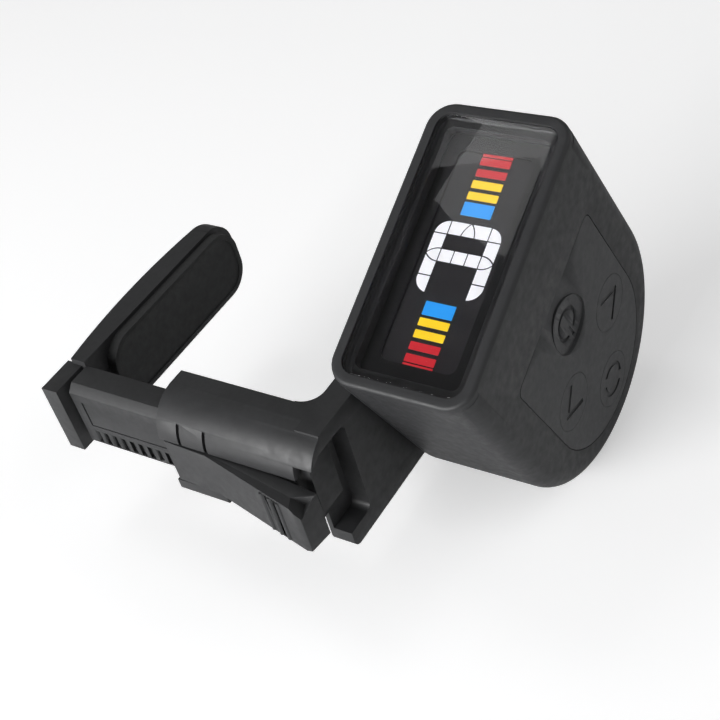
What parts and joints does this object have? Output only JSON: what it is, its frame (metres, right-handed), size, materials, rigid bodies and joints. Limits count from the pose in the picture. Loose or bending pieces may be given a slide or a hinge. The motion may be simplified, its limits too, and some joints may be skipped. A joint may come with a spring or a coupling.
{
  "type": "clip on tuner",
  "caption": "Clip-on tuner with a swivelling display head, rubber keys, coin-cell drawer and a ratchet clip that grips a headstock between two rubber pads.",
  "frame": {"origin": "middle height of the near jaw's rubber face, on the centre line of the far jaw's pad", "axes": "+X along the ratchet bar from the far jaw to the head, +Y along the jaws away from the bar, +Z across the jaws, up as the tuner lies on its side with the display on top"},
  "size_m": [0.0515, 0.0461, 0.0406],
  "materials": {
    "head_shell": "moulded, fine texture",
    "cover_shell": "moulded, fine texture",
    "screw_steel": "blackened",
    "window_glass": "tinted, glossy",
    "mask_black": "printed black",
    "panel_glass": "display panel",
    "segment_red": "lit",
    "segment_yellow": "lit",
    "segment_blue": "lit",
    "segment_white": "lit",
    "frame_white": "moulded",
    "guide_clear": "frosted",
    "led_body": "encapsulated",
    "elastomer": "striped",
    "board_green": "solder mask",
    "chip_black": "moulded",
    "part_tan": "mixed parts",
    "link_black": "moulded",
    "key_board_green": "solder mask",
    "dome_steel": "stamped",
    "key_rubber": "matt silicone",
    "piezo_brass": "disc with ceramic",
    "contact_plated": "nickel plated",
    "drawer_shell": "moulded",
    "cell_steel": "can",
    "clamp_shell": "moulded, fine texture",
    "near_pad_rubber": "ribbed",
    "hub_plastic": "acetal",
    "washer_steel": "spring",
    "swivel_steel": "plated",
    "lever_shell": "moulded, fine texture",
    "bar_shell": "moulded, fine texture",
    "far_pad_rubber": "smooth"
  },
  "bodies": {
    "clamp": {"clamp_body": "clamp_shell", "near_jaw_pad": "near_pad_rubber", "swivel_hub": "hub_plastic", "swivel_washer": "washer_steel", "swivel_screw": "swivel_steel"},
    "far_jaw": {"jaw_bar": "bar_shell", "far_jaw_pad": "far_pad_rubber"},
    "lever": {"release_lever": "lever_shell"},
    "head": {"head_housing": "head_shell", "side_cover": "cover_shell", "cover_screws": "screw_steel", "display_window": "window_glass", "display_mask": "mask_black", "display_panel": "panel_glass", "meter_red": "segment_red", "meter_yellow": "segment_yellow", "meter_blue": "segment_blue", "note_letter": "segment_white", "display_frame": "frame_white", "light_guide": "guide_clear", "backlight_leds": "led_body", "display_connectors": "elastomer", "main_board": "board_green", "microcontroller": "chip_black", "board_parts": "part_tan", "board_link": "link_black", "key_board": "key_board_green", "key_domes": "dome_steel", "key_field": "key_rubber", "piezo_sensor": "piezo_brass", "contact_negative": "contact_plated", "contact_positive": "contact_plated"},
    "drawer": {"battery_drawer": "drawer_shell", "coin_cell": "cell_steel"},
    "power_button": {"power_key": "key_rubber"},
    "up_button": {"up_key": "key_rubber"},
    "down_button": {"down_key": "key_rubber"},
    "mode_button": {"mode_key": "key_rubber"}
  },
  "joints": [
    {"name": "bar_slide", "type": "slide", "parent": "clamp", "child": "far_jaw", "axis": [1, 0, 0], "range_m": [-0.005, 0.0128]},
    {"name": "lever_hinge", "type": "hinge", "parent": "clamp", "child": "lever", "pos_m": [-0.0102, -0.01835, 0], "axis": [0, 0, 1], "range_deg": [0, 3.5], "stiffness_Nm_per_rad": 0.05, "springref_deg": -1.15},
    {"name": "head_swivel", "type": "hinge", "parent": "clamp", "child": "head", "pos_m": [0.0122, 0.0092, -0.00115], "axis": [1, 0, 0], "range_deg": [-120, 12]},
    {"name": "drawer_slide", "type": "slide", "parent": "head", "child": "drawer", "axis": [0, 0.4399, -0.898], "range_m": [0, 0.018]},
    {"name": "power_press", "type": "slide", "parent": "head", "child": "power_button", "axis": [-1, 0, 0], "range_m": [0, 0.0004], "stiffness_N_per_m": 400},
    {"name": "up_press", "type": "slide", "parent": "head", "child": "up_button", "axis": [-1, 0, 0], "range_m": [0, 0.0004], "stiffness_N_per_m": 400},
    {"name": "down_press", "type": "slide", "parent": "head", "child": "down_button", "axis": [-1, 0, 0], "range_m": [0, 0.0004], "stiffness_N_per_m": 400},
    {"name": "mode_press", "type": "slide", "parent": "head", "child": "mode_button", "axis": [-1, 0, 0], "range_m": [0, 0.0004], "stiffness_N_per_m": 400}
  ]
}
